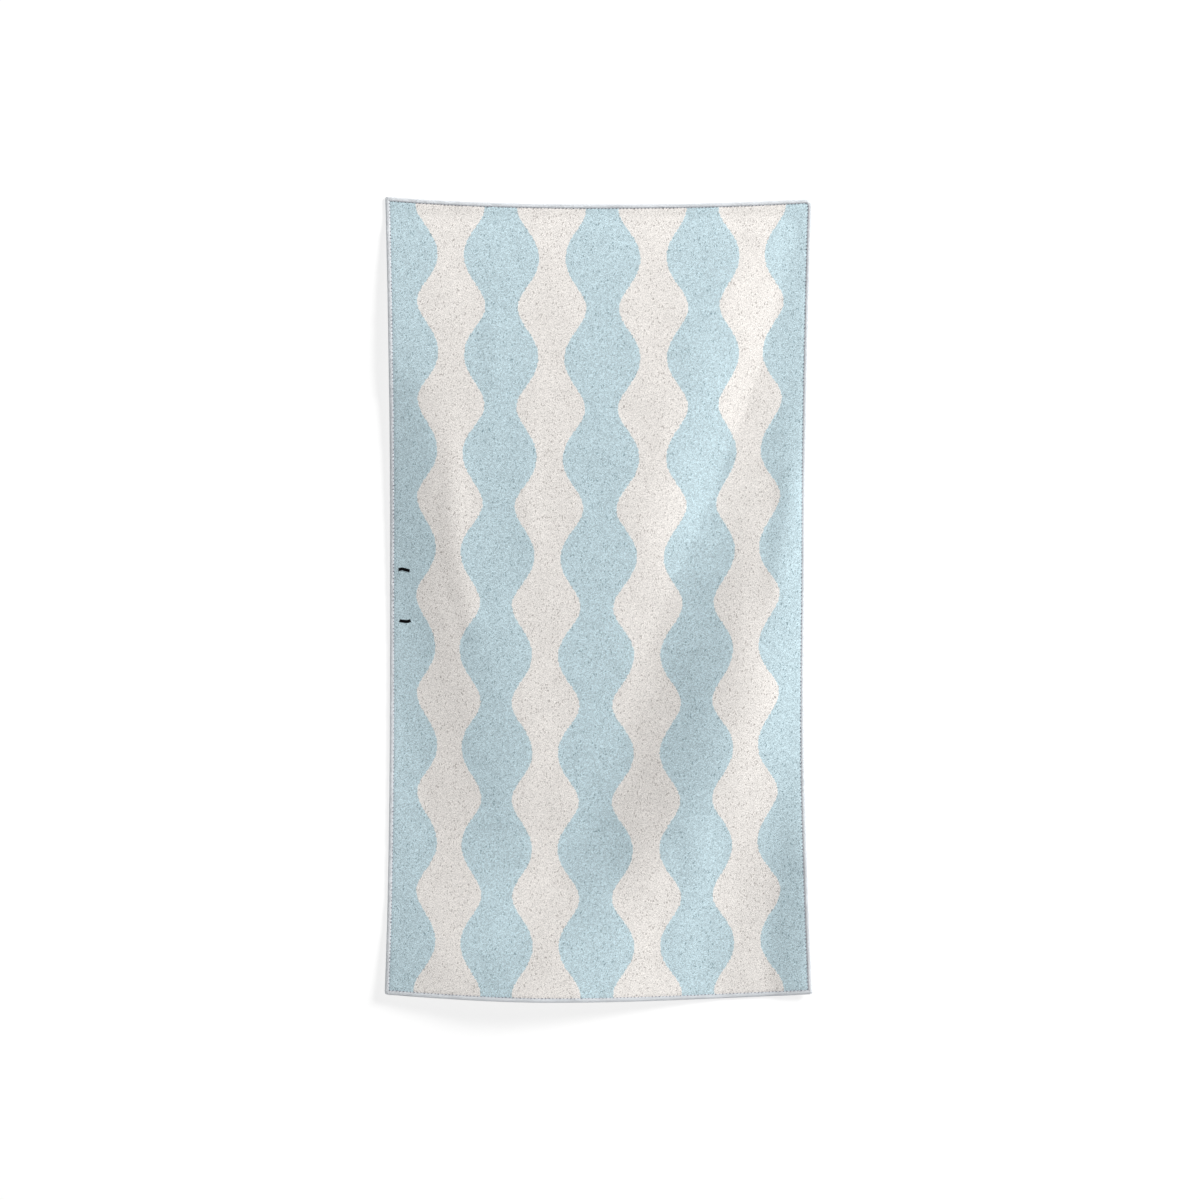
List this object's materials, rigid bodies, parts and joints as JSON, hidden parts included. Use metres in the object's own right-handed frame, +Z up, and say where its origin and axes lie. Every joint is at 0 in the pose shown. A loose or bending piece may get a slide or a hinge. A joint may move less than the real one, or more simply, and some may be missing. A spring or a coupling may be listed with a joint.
{
  "type": "sports towel",
  "caption": "Small sports towel laid face up on a surface with soft drape folds, pale blue towelling with cream wave stripes and an overlocked edge.",
  "frame": {"origin": "middle of the towel's outline as it lies, on the surface under it", "axes": "+X across the towel to the right, +Y along it to the top edge, +Z up, out of the patterned face"},
  "size_m": [0.393, 0.7404, 0.0281],
  "materials": {
    "towel_cloth": "matte short-pile towelling, pale blue with cream wave stripes on the face and plain off-white on the back",
    "edge_thread": "pale grey spun polyester sewing thread, wound over the raw edge, in the visual model",
    "tack_thread": "black sewing thread of the two bar tacks, in the visual model"
  },
  "bodies": {
    "root": {"towel": "towel_cloth"}
  },
  "joints": []
}
